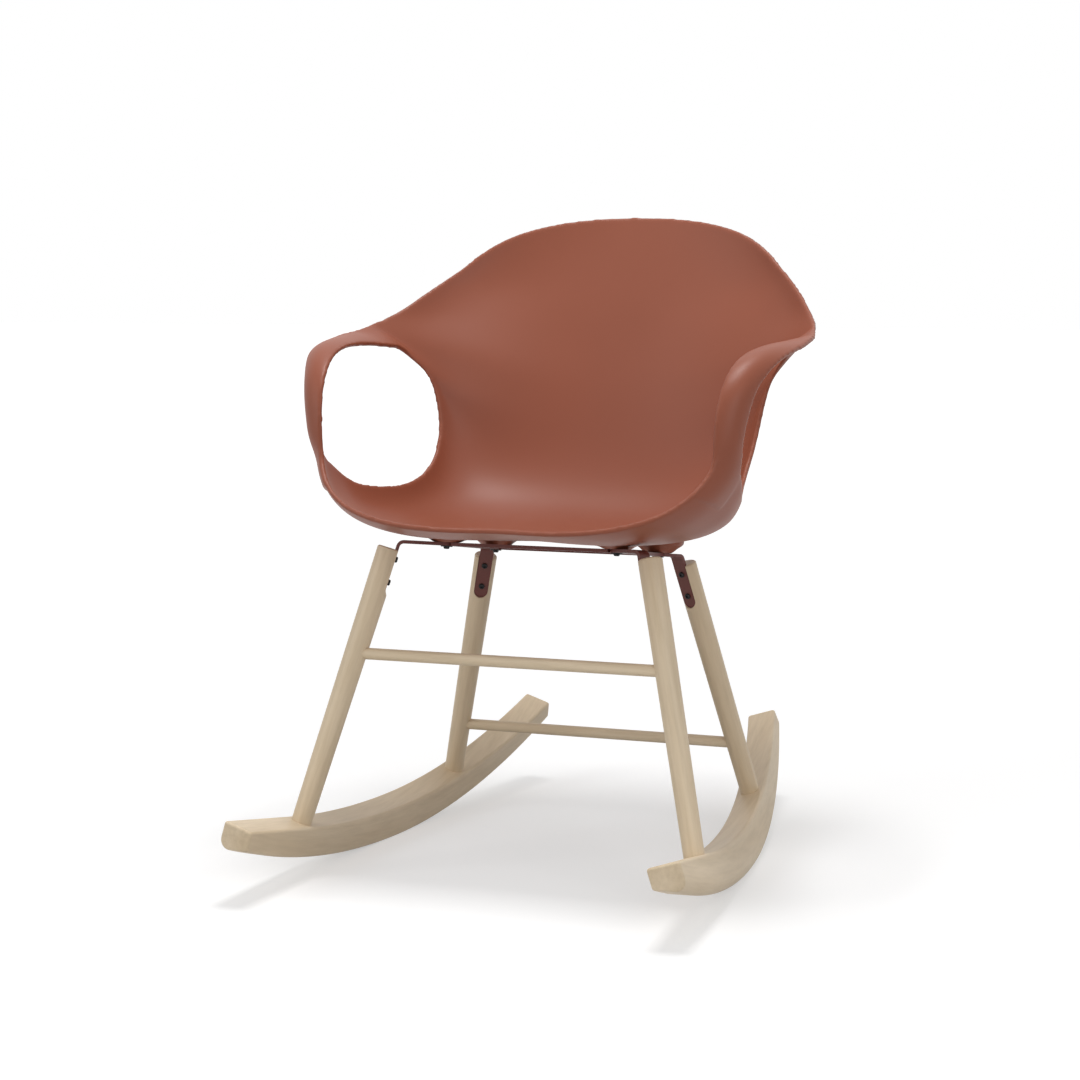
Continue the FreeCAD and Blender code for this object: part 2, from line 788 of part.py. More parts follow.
# inner edge, outer edge, bow of the middle towards the outside, depth, edge thickness
ARM_SECTIONS = [
    (Vector(235.5, -162, 132), Vector(262, -122, 132), 6.5, 8.0, 6.0),
    (Vector(236.5, -160.5, 150), Vector(265.5, -124, 150), 6.0, 9.5, 6.0),
    (Vector(238.5, -156, 170), Vector(270, -121, 171), 6.0, 11.0, 5.5),
    (Vector(241, -146, 190), Vector(275, -116, 193), 5.5, 12.0, 5.5),
    (Vector(243.5, -129, 209), Vector(281, -105, 213), 5.0, 12.5, 5.5),
    (Vector(247.5, -103, 225), Vector(288, -86, 229), 4.5, 12.5, 5.5),
    (Vector(253, -66, 235.5), Vector(294, -56, 239.5), 4.0, 12.0, 5.5),
    (Vector(258, -30, 239.5), Vector(298, -25, 245), 3.0, 11.5, 5.5),
    (Vector(260, 8, 241), Vector(300, 10, 251), 2.0, 11.0, 5.5),
    (Vector(257, 42, 240), Vector(298, 40, 256), 1.5, 9.5, 6.0),
    (Vector(252.5, 76, 237), Vector(293, 70, 261), 1.0, 8.0, 6.0)]
CORNER_ROWS = (0, 2)
BACK_ROWS = (10, 12)
ROOT_PLACES = ((0.82, 3.6), (0.91, 5.1), (1.0, 6.9))
ARM_STATIONS = 5
ARM_ROWS = 24


def root_line(rows, across):
    """Middle line of an arm's root, along the shell's own middle surface."""
    first, last = (SHELL_PARAMETERS[row] for row in rows)
    return [middle_point(first + (last - first) * place / ARM_STATIONS, across)
            for place in range(ARM_STATIONS + 1)]


def arm_lines():
    """Middle lines and depths of all of an arm's sections, front root to rear root."""
    lines = [root_line(CORNER_ROWS, across) for across, _ in ROOT_PLACES]
    depths = [(depth, depth) for _, depth in ROOT_PLACES]
    middles = [(section[0] + section[1]) * 0.5 for section in ARM_SECTIONS]
    for number, (inner, outer, bow, depth, edge) in enumerate(ARM_SECTIONS):
        before = middles[max(number - 1, 0)]
        after = middles[min(number + 1, len(middles) - 1)]
        outside = (outer - inner).cross(after - before).normalize()
        line = []
        for place in range(ARM_STATIONS + 1):
            share = place / ARM_STATIONS
            rise = bow * (1 - (2 * share - 1) ** 2)
            line.append(frame_origin + inner + (outer - inner) * share + outside * rise)
        lines.append(line)
        depths.append((depth, edge))
    for across, depth in reversed(ROOT_PLACES):
        lines.append(root_line(BACK_ROWS, across))
        depths.append((depth, depth))
    return lines, depths


def make_arm(side):
    """Solid strap between an outer and an inner grid that are thickest in the middle."""
    lines, depths = arm_lines()
    stations = [[line[place] for line in lines] for place in range(ARM_STATIONS + 1)]
    curves = smooth_outlines(stations)
    depth_curve = Part.BSplineCurve()
    depth_curve.interpolate(Points=[Vector(depth, edge, number)
                                    for number, (depth, edge) in enumerate(depths)],
                            Parameters=shared_parameters(stations))
    rows = [[curve.value(row / (ARM_ROWS - 1)) for curve in curves] for row in range(ARM_ROWS)]
    outer_grid = []
    inner_grid = []
    for row, line in enumerate(rows):
        depth, edge, _ = depth_curve.value(row / (ARM_ROWS - 1))
        outer_line = []
        inner_line = []
        for place, point in enumerate(line):
            across = line[min(place + 1, ARM_STATIONS)] - line[max(place - 1, 0)]
            along = rows[min(row + 1, ARM_ROWS - 1)][place] - rows[max(row - 1, 0)][place]
            outside = across.cross(along).normalize()
            share = 2 * place / ARM_STATIONS - 1
            half = (edge + (depth - edge) * (1 - share * share)) / 2
            outer_line.append(mirrored_point(point + outside * half, side))
            inner_line.append(mirrored_point(point - outside * half, side))
        outer_grid.append(outer_line)
        inner_grid.append(inner_line)
    return wrapped(outer_grid, inner_grid)


def make_boss(end, side, under_surface):
    """Flared boss from the frame up to the middle of the seat's wall."""
    tip = size("boss_tip_radius")
    base = size("boss_base_radius")
    flare = size("boss_flare_height")
    reach = flare * 4
    outline = [Vector(0, 0, 0), Vector(tip, 0, 0), Vector(tip + (base - tip) * 0.4, 0, flare * 0.5),
               Vector(base, 0, flare), Vector(base, 0, reach), Vector(0, 0, reach)]
    column = Part.Face(Part.makePolygon(outline + [outline[0]]))
    column = column.revolve(Vector(0, 0, 0), Vector(0, 0, 1), 360)
    column.Placement = frame_placement(boss_point(end, side), Vector(1, 0, 0), frame_up)
    return column.common(under_surface)


def make_seat_shell():
    grid = middle_surface()
    half_wall = size("shell_wall") / 2
    under_surface = woven(grid).toShape().extrude(Vector(0, 0, -size("boss_base_radius") * 2))
    shell = wrapped(offset_grid(grid, half_wall), offset_grid(grid, -half_wall))
    for _, side in SIDES:
        shell = shell.fuse(make_arm(side))
    bosses = [make_boss(end, side, under_surface) for end in LEG_ENDS for _, side in SIDES]
    shell = shell.fuse(bosses)
    bores = []
    for end in LEG_ENDS:
        for _, side in SIDES:
            bores.append(Part.makeCylinder(size("seat_insert_radius"),
                                           size("seat_insert_length") + 2,
                                           boss_point(end, side, -1), frame_up))
    item = doc.addObject("Part::Feature", "seat_shell_shape")
    item.Shape = shell.cut(bores).Solids[0]
    return keep(item, "seat_shell")


make_seat_shell()
doc.recompute()

# Every object is checked before its file is written

for item in doc.Objects:
    if "Invalid" in item.State or "Error" in item.State:
        raise ValueError("failed object: " + item.Name)
os.makedirs("parts", exist_ok=True)
for item in parts:
    if item.Shape.isNull() or not item.Shape.isValid():
        raise ValueError("bad shape: " + item.Label)
    item.Shape.exportStep("parts/" + item.Label + ".step")
    print(item.Label, len(item.Shape.Solids), round(item.Shape.Volume))
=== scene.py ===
import math

import bpy
import numpy as np
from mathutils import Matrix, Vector
from mathutils.bvhtree import BVHTree


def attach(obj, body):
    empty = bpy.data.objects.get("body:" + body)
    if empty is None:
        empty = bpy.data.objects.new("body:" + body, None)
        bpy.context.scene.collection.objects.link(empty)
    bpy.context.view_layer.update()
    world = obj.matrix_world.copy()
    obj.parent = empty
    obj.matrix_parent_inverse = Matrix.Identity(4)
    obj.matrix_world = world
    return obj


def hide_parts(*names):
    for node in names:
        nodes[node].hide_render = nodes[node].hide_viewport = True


# Moulded plastic rocking chair, dressed for rendering: a smooth one-piece shell with
# blended arms, lacquered wood, painted steel frame, studio light and the photo's camera.

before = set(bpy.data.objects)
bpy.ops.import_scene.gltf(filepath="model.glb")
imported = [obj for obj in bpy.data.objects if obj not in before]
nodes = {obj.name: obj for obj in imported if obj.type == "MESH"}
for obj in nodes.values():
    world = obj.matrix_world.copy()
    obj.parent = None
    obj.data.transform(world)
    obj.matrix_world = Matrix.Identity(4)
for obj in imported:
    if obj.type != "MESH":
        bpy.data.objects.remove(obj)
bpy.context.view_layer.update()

# Lengths of the shell are in millimetres, everything else is in metres
MM = 0.001
MIRROR = np.array([-1.0, 1.0, 1.0])

# Outlines of the seat shell on the right half, from the centre line to the outer edge

SHELL_LINES = np.array([
    [(0, -214, 411), (0, -192, 407), (0, -152, 399), (0, -97, 391), (0, -40, 384), (0, 20, 380),
     (0, 78, 383), (0, 127, 401), (0, 162, 435), (0, 182, 470), (0, 196, 505), (0, 206, 533),
     (0, 216, 560), (0, 229, 594), (0, 243, 632), (0, 260, 678), (0, 278, 724), (0, 295, 768)],
    [(130, -240, 405), (130, -207, 398), (130, -160, 389), (130, -100, 382), (126, -40, 377),
     (120, 20, 375), (114, 80, 380), (111, 130, 401), (112, 166, 438), (113, 186, 474),
     (115, 201, 510), (117, 212, 538), (119, 222, 565), (120, 235, 598), (118, 249, 636),
     (108, 265, 681), (98, 281, 725), (90, 293, 769)],
    [(220, -214, 424), (229, -183, 400), (230, -138, 385), (236, -90, 385), (230, -32, 383),
     (217, 28, 382), (203, 84, 391), (194, 132, 420), (202, 160, 468), (211, 163, 508),
     (221, 163, 545), (233, 166, 575), (242, 171, 602), (240, 186, 619), (232, 206, 637),
     (206, 236, 667), (186, 251, 708), (165, 263, 754)],
    [(234, -165, 482), (250, -141, 481), (254, -112, 478), (245, -80, 452), (230, -26, 438),
     (213, 38, 437), (204, 96, 460), (209, 131, 505), (218, 133, 553), (232, 126, 582),
     (248, 108, 600), (270, 104, 617), (288, 91, 629), (280, 122, 638.5), (267, 151, 651),
     (236, 198, 683), (214, 221, 702), (196, 234, 719)]], dtype=float)
POLE_ROWS = 26
HALF_COLUMNS = 7
WALL = 6.0

# Sections of the right arm: inner and outer edge, then outward bow, depth and edge depth

ARM_EDGES = np.array([
    [(235.5, -163, 500), (259, -134, 500)], [(235.5, -163.5, 518), (262, -136, 518)],
    [(236, -161, 538), (266.5, -133, 539)], [(238, -154, 558.5), (271.5, -127, 561)],
    [(240.5, -138, 579), (279, -111, 580)], [(245, -112, 595.5), (288, -88, 595)],
    [(251, -73, 605.5), (294, -57, 604.5)], [(257, -32, 609), (298, -25, 610)],
    [(260, 8, 609.5), (300, 10, 615.5)], [(257, 42, 608), (298, 40, 620.5)],
    [(252.5, 76, 605), (294, 70, 624.5)]])
ARM_FORM = [(6.5, 8.0, 6.0), (6.0, 9.5, 6.0), (6.0, 11.0, 5.5), (5.5, 12.0, 5.5),
            (5.0, 12.5, 5.5), (4.5, 12.5, 5.5), (4.0, 12.0, 5.5), (3.0, 11.5, 5.5),
            (2.0, 11.0, 5.5), (1.5, 9.5, 6.0), (1.0, 8.0, 6.0)]

# Roots of the arm on the bucket: place between centre line and edge with depth, then the
# outline rows that each root spans at the front corner and on the back
ARM_ROOTS = [(0.82, 3.6), (0.91, 5.1), (1.0, 6.9)]
CORNER_ROWS = (0, 2)
BACK_ROWS = (10, 13)
ARM_STATIONS = 5
ARM_ROWS = 24

# Bosses under the seat: places in the steel frame's plane, radii, and heights above it

BOSS_PLACES = [(side * 105.0, place) for side in (-1, 1) for place in (-100.0, 60.0)]
FRAME_HEIGHT = 368.0
FRAME_TILT = math.radians(7.8)
BOSS_TIP = 17.0
BOSS_BASE = 31.0
BOSS_FLARE = 11.0
BOSS_REACH = 44.0
FLARE_WIDENED = 0.4
FLARE_RISEN = 0.5
BOSS_TURNS = 64

# Samples of each surface along and across, and the height that rays start from
BUCKET_SAMPLES = (220, 240)
ARM_SAMPLES = (200, 40)
CEILING_SAMPLES = (90, 90)
RAY_START = 0.7

# Remesh of the shell into one skin, and the smoothing after it
VOXEL = 0.0021
SMOOTHING_FACTOR = 0.5
SMOOTHING_STEPS = 14

# Extra smoothing round the places where the right arm meets the bucket's rim
ROOT_CORNERS = [(290, 90, 629), (254, -108, 474)]
ROOT_REACH = 34.0
ROOT_STEPS = 50


def unit(vectors):
    return vectors / np.linalg.norm(vectors, axis=-1, keepdims=True)


def shared_parameters(lines):
    """Places of the points from 0 to 1, spaced by the lines' mean step lengths."""
    steps = np.linalg.norm(np.diff(lines, axis=1), axis=2).mean(axis=0)
    total = np.concatenate([[0.0], np.cumsum(steps)])
    return total / total[-1]


def end_slope(parameters, points):
    """Slope at the first point of the cubic through the first four points."""
    shifted = parameters[:4] - parameters[0]
    powers = np.vander(shifted, 4, increasing=True)
    return np.linalg.solve(powers, points[:4])[1]


def smooth_curve(parameters, points, places):
    """Values at places of the smooth cubic curve through the points."""
    gaps = np.diff(parameters)
    rates = np.diff(points, axis=0) / gaps[:, None]
    count = len(points)
    matrix = np.eye(count)
    wanted = np.zeros_like(points)
    wanted[0] = end_slope(parameters, points)
    wanted[-1] = -end_slope(-parameters[::-1], points[::-1])
    for row in range(1, count - 1):
        before, after = gaps[row - 1], gaps[row]
        matrix[row, row - 1:row + 2] = after, 2 * (before + after), before
        wanted[row] = 3 * (after * rates[row - 1] + before * rates[row])
    slopes = np.linalg.solve(matrix, wanted)
    span = np.clip(np.searchsorted(parameters, places, side="right") - 1, 0, count - 2)
    gap = gaps[span][:, None]
    share = ((places - parameters[span]) / gaps[span])[:, None]
    start, end = points[span], points[span + 1]
    return (start * (1 + 2 * share) * (1 - share) ** 2 + end * share ** 2 * (3 - 2 * share)
            + gap * slopes[span] * share * (1 - share) ** 2
            - gap * slopes[span + 1] * share ** 2 * (1 - share))


def pole_weights(count, samples):
    """How much each of count poles pulls on even samples of a clamped cubic curve."""
    knots = np.concatenate([[0] * 3, np.arange(count - 2), [count - 3] * 3]).astype(float)
    places = np.linspace(0, count - 3, samples)
    places[-1] -= 1e-9
    weights = ((knots[:-1] <= places[:, None]) & (places[:, None] < knots[1:])).astype(float)
    for degree in range(1, 4):
        size = len(knots) - 1 - degree
        rising = np.zeros((samples, size))
        for pole in range(size):
            low, high = knots[pole], knots[pole + degree]
            if high > low:
                rising[:, pole] += (places - low) / (high - low) * weights[:, pole]
            low, high = knots[pole + 1], knots[pole + degree + 1]
            if high > low:
                rising[:, pole] += (high - places) / (high - low) * weights[:, pole + 1]
        weights = rising
    return weights


def woven(grid, rows, columns):
    """Even samples of the cubic surface whose poles are the grid."""
    along = pole_weights(grid.shape[0], rows)
    across = pole_weights(grid.shape[1], columns)
    return np.einsum("ri,ijk,cj->rck", along, grid, across)


def neighbours_step(grid, axis):
    """Step between the points before and after each point of a grid."""
    last = grid.shape[axis] - 1
    after = np.take(grid, np.minimum(np.arange(last + 1) + 1, last), axis=axis)
    before = np.take(grid, np.maximum(np.arange(last + 1) - 1, 0), axis=axis)
    return after - before


def normals(grid):
    """Unit normals of a grid of points."""
    return unit(np.cross(neighbours_step(grid, 1), neighbours_step(grid, 0)))


# Middle surface of the bucket

shell_parameters = shared_parameters(SHELL_LINES)


def middle_points(places, across):
    """Points of the right half at one share of the way from centre line to edge."""
    poles = [smooth_curve(shell_parameters, line, places) for line in SHELL_LINES]
    weights = ((1 - across) ** 3, 3 * across * (1 - across) ** 2,
               3 * across ** 2 * (1 - across), across ** 3)
    return sum(pole * weight for pole, weight in zip(poles, weights))


row_places = np.linspace(0, 1, POLE_ROWS)
half_grid = np.stack([middle_points(row_places, column / HALF_COLUMNS)
                      for column in range(HALF_COLUMNS + 1)], axis=1)
middle_grid = np.concatenate([half_grid[:, :0:-1] * MIRROR, half_grid], axis=1)
middle_normals = normals(middle_grid)


def arm_grids():
    """Outer and inner pole grids of the right arm."""
    lines = []
    forms = []
    stations = np.linspace(0, 1, ARM_STATIONS + 1)

    def add_root(rows, across, depth):
        first, last = shell_parameters[rows[0]], shell_parameters[rows[1]]
        lines.append(middle_points(first + (last - first) * stations, across))
        forms.append((depth, depth))

    for across, depth in ARM_ROOTS:
        add_root(CORNER_ROWS, across, depth)
    travel = neighbours_step(ARM_EDGES.mean(axis=1), 0)
    for (inner, outer), (bow, depth, edge), onward in zip(ARM_EDGES, ARM_FORM, travel):
        outside = unit(np.cross(outer - inner, onward))
        rise = bow * (1 - (2 * stations - 1) ** 2)
        lines.append(inner + np.outer(stations, outer - inner) + np.outer(rise, outside))
        forms.append((depth, edge))
    for across, depth in reversed(ARM_ROOTS):
        add_root(BACK_ROWS, across, depth)
    lines = np.array(lines).transpose(1, 0, 2)
    parameters = shared_parameters(lines)
    places = np.linspace(0, 1, ARM_ROWS)
    rows = np.stack([smooth_curve(parameters, line, places) for line in lines], axis=1)
    form = smooth_curve(parameters, np.array(forms), places)
    bulge = 1 - (2 * stations - 1) ** 2
    half = (form[:, 1:] + (form[:, :1] - form[:, 1:]) * bulge) / 2
    outside = normals(rows)
    return rows + outside * half[..., None], rows - outside * half[..., None]


# Closed skins of the bucket, the arms and the bosses, joined by a voxel remesh

def wrapped(name, upper, lower):
    """Closed mesh between two matching grids of points in millimetres."""
    rows, columns = upper.shape[:2]
    points = np.concatenate([upper.reshape(-1, 3), lower.reshape(-1, 3)]) * MM
    index = np.arange(rows * columns).reshape(rows, columns)
    below = index + rows * columns
    faces = []
    for row in range(rows - 1):
        for column in range(columns - 1):
            corners = ((row, column), (row, column + 1),
                       (row + 1, column + 1), (row + 1, column))
            faces.append([int(index[corner]) for corner in corners])
            faces.append([int(below[corner]) for corner in reversed(corners)])
    border = ([(0, column) for column in range(columns)]
              + [(row, columns - 1) for row in range(1, rows)]
              + [(rows - 1, column) for column in range(columns - 2, -1, -1)]
              + [(row, 0) for row in range(rows - 2, 0, -1)])
    for corner, following in zip(border, border[1:] + border[:1]):
        faces.append([int(index[following]), int(index[corner]),
                      int(below[corner]), int(below[following])])
    mesh = bpy.data.meshes.new(name)
    mesh.from_pydata([tuple(point) for point in points], [], faces)
    return mesh


def boss_mesh(name, across, place, ceiling):
    """Flared boss whose top stays below the middle of the seat's wall."""
    up = np.array([0, math.sin(FRAME_TILT), math.cos(FRAME_TILT)])
    back = np.array([0, math.cos(FRAME_TILT), -math.sin(FRAME_TILT)])
    base = np.array([across, 0, FRAME_HEIGHT]) + back * (place / math.cos(FRAME_TILT))
    flare = BOSS_BASE - BOSS_TIP
    outline = [(BOSS_TIP, 0.0),
               (BOSS_TIP + FLARE_WIDENED * flare, FLARE_RISEN * BOSS_FLARE),
               (BOSS_BASE, BOSS_FLARE), (BOSS_BASE, BOSS_REACH)]
    points = []
    for radius, height in outline:
        for turn in range(BOSS_TURNS):
            angle = 2 * math.pi * turn / BOSS_TURNS
            points.append(base + up * height + back * (radius * math.sin(angle))
                          + np.array([radius * math.cos(angle), 0, 0]))
    points = [point * MM for point in points]
    for point in points:
        above = Vector((point[0], point[1], RAY_START))
        hit = ceiling.ray_cast(above, Vector((0, 0, -1)))[0]
        point[2] = min(point[2], hit.z)
    faces = []
    for ring in range(len(outline) - 1):
        for turn in range(BOSS_TURNS):
            here = ring * BOSS_TURNS + turn
            beside = ring * BOSS_TURNS + (turn + 1) % BOSS_TURNS
            faces.append([here, beside, beside + BOSS_TURNS, here + BOSS_TURNS])
    faces.append(list(range(BOSS_TURNS))[::-1])
    faces.append(list(range((len(outline) - 1) * BOSS_TURNS, len(outline) * BOSS_TURNS)))
    mesh = bpy.data.meshes.new(name)
    mesh.from_pydata([tuple(point) for point in points], [], faces)
    return mesh


def joined_object(name, meshes):
    """One object from several meshes, which are removed."""
    vertices = []
    faces = []
    for mesh in meshes:
        start = len(vertices)
        vertices.extend(vertex.co[:] for vertex in mesh.vertices)
        faces.extend([start + corner for corner in face.vertices] for face in mesh.polygons)
        bpy.data.meshes.remove(mesh)
    data = bpy.data.meshes.new(name)
    data.from_pydata(vertices, [], faces)
    item = bpy.data.objects.new(name, data)
    bpy.context.scene.collection.objects.link(item)
    return item


def apply_modifiers(item):
    graph = bpy.context.evaluated_depsgraph_get()
    changed = bpy.data.meshes.new_from_object(item.evaluated_get(graph))
    item.modifiers.clear()
    item.data = changed


def blend_roots(item):
    """Extra smoothing that flows the arms' roots into the bucket's rim."""
    places = np.array([vertex.co[:] for vertex in item.data.vertices]) / MM
    corners = [np.array(corner) for corner in ROOT_CORNERS]
    corners += [corner * MIRROR for corner in corners]
    nearest = np.min([np.linalg.norm(places - corner, axis=1) for corner in corners], axis=0)
    group = item.vertex_groups.new(name="roots")
    for index in np.flatnonzero(nearest < ROOT_REACH):
        group.add([int(index)], float(1 - nearest[index] / ROOT_REACH), "REPLACE")
    blend = item.modifiers.new("blend_roots", "SMOOTH")
    blend.factor = SMOOTHING_FACTOR
    blend.iterations = ROOT_STEPS
    blend.vertex_group = "roots"
    apply_modifiers(item)


def make_shell():
    """Bucket, arms and bosses as one skin."""
    upper = woven(middle_grid + middle_normals * WALL / 2, *BUCKET_SAMPLES)
    lower = woven(middle_grid - middle_normals * WALL / 2, *BUCKET_SAMPLES)
    outer, inner = [woven(grid, *ARM_SAMPLES) for grid in arm_grids()]
    middle_sheet = woven(middle_grid, *CEILING_SAMPLES)
    middle = wrapped("middle", middle_sheet, middle_sheet)
    ceiling = BVHTree.FromPolygons([vertex.co[:] for vertex in middle.vertices],
                                   [face.vertices[:] for face in middle.polygons])
    bpy.data.meshes.remove(middle)
    meshes = [wrapped("bucket", upper, lower), wrapped("arm_right", outer, inner),
              wrapped("arm_left", outer * MIRROR, inner * MIRROR)]
    for number, (across, place) in enumerate(BOSS_PLACES):
        meshes.append(boss_mesh("boss_%d" % number, across, place, ceiling))
    item = joined_object("shell_skin", meshes)
    remesh = item.modifiers.new("one_skin", "REMESH")
    remesh.mode = "VOXEL"
    remesh.voxel_size = VOXEL * 1.0
    soften = item.modifiers.new("soften", "SMOOTH")
    soften.factor = SMOOTHING_FACTOR
    soften.iterations = SMOOTHING_STEPS
    apply_modifiers(item)
    blend_roots(item)
    item.data.shade_smooth()
    return item


# Materials, all procedural. Tones are stops of a colour ramp.

PLASTIC_TONES = [(0.25, (0.258, 0.072, 0.037)), (0.75, (0.276, 0.078, 0.041))]
WOOD_TONES = [(0.30, (0.640, 0.505, 0.338)), (0.62, (0.750, 0.615, 0.440))]
FIBRE_TONES = [(0.35, (0.86, 0.84, 0.80)), (0.60, (1.0, 1.0, 1.0))]
FIBRE_SHARE = 0.6
PAINT_TONES = [(0.3, (0.120, 0.026, 0.018)), (0.7, (0.140, 0.032, 0.023))]
BLACK_TONES = [(0.3, (0.012, 0.012, 0.013)), (0.7, (0.022, 0.022, 0.023))]
BRASS_TONES = [(0.3, (0.55, 0.38, 0.14)), (0.7, (0.66, 0.47, 0.20))]

# Squeeze of the wood's grain along, across and through a piece, the shift from one piece
# to the next, and the radius that the rockers' grain is bent to
GRAIN_SCALE = (1.6, 22.0, 22.0)
GRAIN_SHIFT = (3.7, 1.3, 2.1)
BEND_RADIUS = 1.15


def new_material(name):
    material = bpy.data.materials.new(name)
    material.use_nodes = True
    tree = material.node_tree
    return material, tree, tree.nodes["Principled BSDF"]


def noise(tree, coordinates, scale, detail, roughness=0.5):
    node = tree.nodes.new("ShaderNodeTexNoise")
    node.inputs["Scale"].default_value = scale
    node.inputs["Detail"].default_value = detail
    node.inputs["Roughness"].default_value = roughness
    tree.links.new(coordinates, node.inputs["Vector"])
    return node.outputs["Fac"]


def ramp(tree, value, stops):
    node = tree.nodes.new("ShaderNodeValToRGB")
    elements = node.color_ramp.elements
    for number, (place, colour) in enumerate(stops):
        element = elements[number] if number < 2 else elements.new(place)
        element.position = place
        element.color = (*colour, 1.0)
    tree.links.new(value, node.inputs["Fac"])
    return node.outputs["Color"]


def grey_range(tree, value, low, high):
    """The value from 0 to 1, brought to run from low to high."""
    node = tree.nodes.new("ShaderNodeMapRange")
    node.inputs["To Min"].default_value = low
    node.inputs["To Max"].default_value = high
    tree.links.new(value, node.inputs["Value"])
    return node.outputs["Result"]


def bump(tree, shader, value, strength, distance):
    node = tree.nodes.new("ShaderNodeBump")
    node.inputs["Strength"].default_value = strength
    node.inputs["Distance"].default_value = distance
    tree.links.new(value, node.inputs["Height"])
    tree.links.new(node.outputs["Normal"], shader.inputs["Normal"])


def object_coordinates(tree):
    return tree.nodes.new("ShaderNodeTexCoord").outputs["Object"]


def moulded_plastic():
    """Semi-matte terracotta plastic with a very fine moulded grain."""
    material, tree, shader = new_material("shell_plastic")
    place = object_coordinates(tree)
    clouds = noise(tree, place, scale=6.0, detail=3.0)
    tree.links.new(ramp(tree, clouds, PLASTIC_TONES), shader.inputs["Base Color"])
    grain = noise(tree, place, scale=900.0, detail=2.0)
    roughness = grey_range(tree, grain, low=0.42, high=0.52)
    tree.links.new(roughness, shader.inputs["Roughness"])
    shader.inputs["Specular IOR Level"].default_value = 0.32
    bump(tree, shader, grain, strength=0.06, distance=0.0002)
    return material


def number_node(tree, operation, first, second):
    """Math node of two inputs, each a socket or a plain number."""
    node = tree.nodes.new("ShaderNodeMath")
    node.operation = operation
    for socket, value in zip(node.inputs, (first, second)):
        if isinstance(value, (int, float)):
            socket.default_value = value
        else:
            tree.links.new(value, socket)
    return node.outputs["Value"]


def straight_grain(tree, along):
    """Grain coordinates along one direction, across and through."""
    turned = tree.nodes.new("ShaderNodeMapping")
    turned.vector_type = "TEXTURE"
    turned.inputs["Rotation"].default_value = along.to_track_quat("X", "Z").to_euler()
    tree.links.new(object_coordinates(tree), turned.inputs["Vector"])
    return turned.outputs["Vector"]


def bent_grain(tree):
    """Grain coordinates that follow the rockers' bend: along, across and through."""
    split = tree.nodes.new("ShaderNodeSeparateXYZ")
    tree.links.new(object_coordinates(tree), split.inputs["Vector"])
    below = number_node(tree, "SUBTRACT", BEND_RADIUS, split.outputs["Z"])
    turn = number_node(tree, "ARCTAN2", split.outputs["Y"], below)
    flat = tree.nodes.new("ShaderNodeCombineXYZ")
    tree.links.new(split.outputs["Y"], flat.inputs["X"])
    tree.links.new(below, flat.inputs["Y"])
    reach = tree.nodes.new("ShaderNodeVectorMath")
    reach.operation = "LENGTH"
    tree.links.new(flat.outputs["Vector"], reach.inputs[0])
    joined = tree.nodes.new("ShaderNodeCombineXYZ")
    tree.links.new(number_node(tree, "MULTIPLY", turn, BEND_RADIUS), joined.inputs["X"])
    tree.links.new(split.outputs["X"], joined.inputs["Y"])
    tree.links.new(reach.outputs["Value"], joined.inputs["Z"])
    return joined.outputs["Vector"]


def lacquered_wood(name, along, number):
    """Pale wood whose grain runs along the piece, under matte lacquer."""
    material, tree, shader = new_material("wood_" + name)
    grain = bent_grain(tree) if "rocker_" in name else straight_grain(tree, along)
    stretched = tree.nodes.new("ShaderNodeMapping")
    shift = [number * step for step in GRAIN_SHIFT]
    stretched.inputs["Location"].default_value = shift
    stretched.inputs["Scale"].default_value = GRAIN_SCALE
    tree.links.new(grain, stretched.inputs["Vector"])
    place = stretched.outputs["Vector"]
    bands = noise(tree, place, scale=1.3, detail=3.0, roughness=0.55)
    fibres = noise(tree, place, scale=9.0, detail=5.0, roughness=0.65)
    base = ramp(tree, bands, WOOD_TONES)
    streaks = ramp(tree, fibres, FIBRE_TONES)
    blend = tree.nodes.new("ShaderNodeMix")
    blend.data_type = "RGBA"
    blend.blend_type = "MULTIPLY"
    blend.inputs["Factor"].default_value = FIBRE_SHARE
    tree.links.new(base, blend.inputs["A"])
    tree.links.new(streaks, blend.inputs["B"])
    tree.links.new(blend.outputs["Result"], shader.inputs["Base Color"])
    roughness = grey_range(tree, fibres, low=0.40, high=0.55)
    tree.links.new(roughness, shader.inputs["Roughness"])
    shader.inputs["Specular IOR Level"].default_value = 0.4
    bump(tree, shader, fibres, strength=0.10, distance=0.0004)
    return material


def painted_steel():
    """Dark red-brown powder coat with a fine orange-peel surface."""
    material, tree, shader = new_material("frame_paint")
    peel = noise(tree, object_coordinates(tree), scale=700.0, detail=2.0)
    tree.links.new(ramp(tree, peel, PAINT_TONES), shader.inputs["Base Color"])
    shader.inputs["Roughness"].default_value = 0.45
    bump(tree, shader, peel, strength=0.15, distance=0.0002)
    return material


def fastener_metal(name, tones, metallic, roughness):
    material, tree, shader = new_material(name)
    marks = noise(tree, object_coordinates(tree), scale=300.0, detail=3.0)
    tree.links.new(ramp(tree, marks, tones), shader.inputs["Base Color"])
    shader.inputs["Metallic"].default_value = metallic
    shader.inputs["Roughness"].default_value = roughness
    return material


def dress(node, material):
    slots = nodes[node].data.materials
    slots.clear()
    slots.append(material)


def node_axis(node):
    """Direction of the longest spread of a node's vertices."""
    points = np.array([vertex.co[:] for vertex in nodes[node].data.vertices])
    spread = np.linalg.svd(points - points.mean(axis=0), full_matrices=False)[2][0]
    return Vector(spread)


wooden = sorted(name for name in nodes
                if any(word in name for word in ("leg", "stretcher", "rocker")))
for number, name in enumerate(wooden):
    dress(name, lacquered_wood(name, node_axis(name), number))

